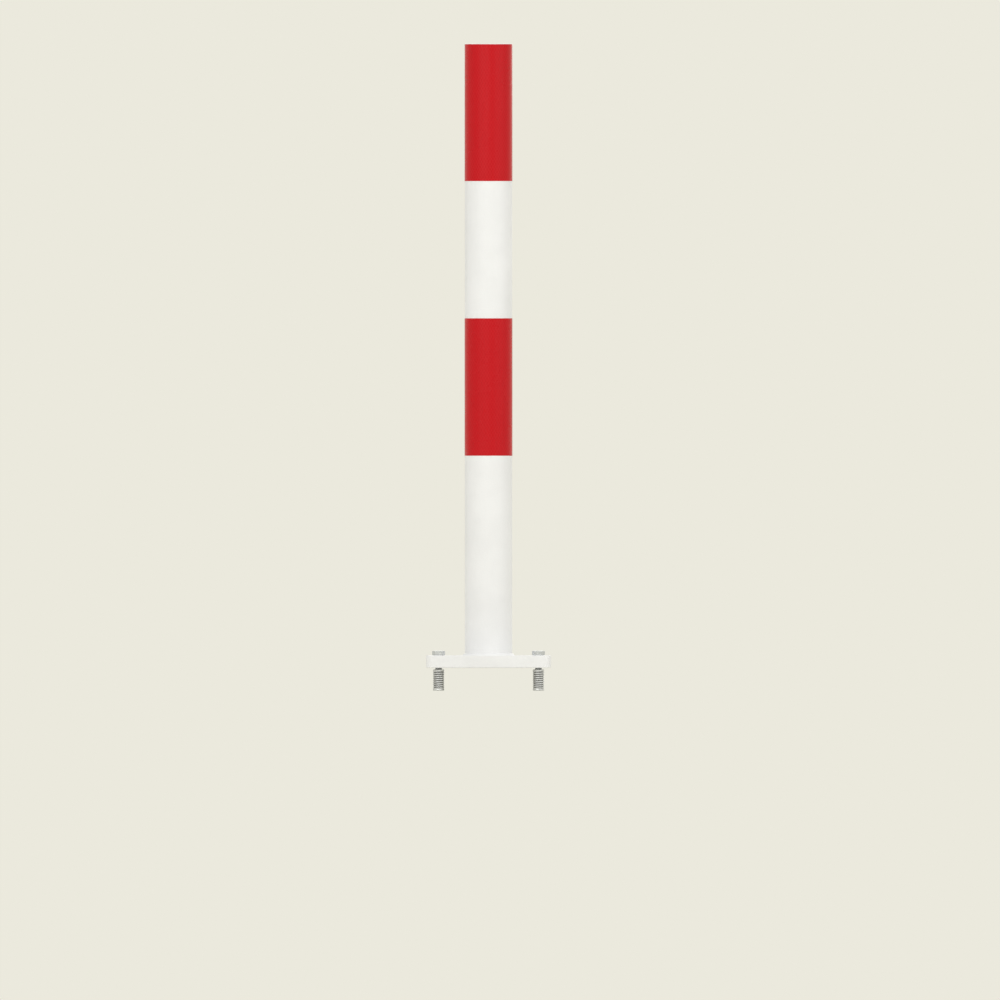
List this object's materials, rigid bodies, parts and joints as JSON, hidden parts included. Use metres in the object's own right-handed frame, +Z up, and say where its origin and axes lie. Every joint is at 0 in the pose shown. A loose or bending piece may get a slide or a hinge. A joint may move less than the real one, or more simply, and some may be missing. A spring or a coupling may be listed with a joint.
{
  "type": "barrier post",
  "caption": "Round white barrier post with red reflective bands, welded to a square base plate that hexagon bolts hold down in threaded anchor sleeves, to keep vehicles off a way.",
  "frame": {"origin": "centre of the base plate's underside, level with the surface it is bolted to", "axes": "+Z up along the post, -Y the front, +X to the right as seen from the front; the lap of the red film is at the back, +Y"},
  "size_m": [0.2, 0.2, 1.0365],
  "materials": {
    "white_coating": "satin",
    "red_film": "satin",
    "bolt_zinc": "satin",
    "sleeve_zinc": "satin"
  },
  "bodies": {
    "root": {"post_tube": "white_coating", "base_plate": "white_coating", "base_weld": "white_coating", "top_cap": "white_coating", "cap_weld": "white_coating", "upper_red_band": "red_film", "lower_red_band": "red_film", "anchor_bolt_front_left": "bolt_zinc", "anchor_sleeve_front_left": "sleeve_zinc", "anchor_bolt_front_right": "bolt_zinc", "anchor_sleeve_front_right": "sleeve_zinc", "anchor_bolt_back_left": "bolt_zinc", "anchor_sleeve_back_left": "sleeve_zinc", "anchor_bolt_back_right": "bolt_zinc", "anchor_sleeve_back_right": "sleeve_zinc"}
  },
  "joints": []
}
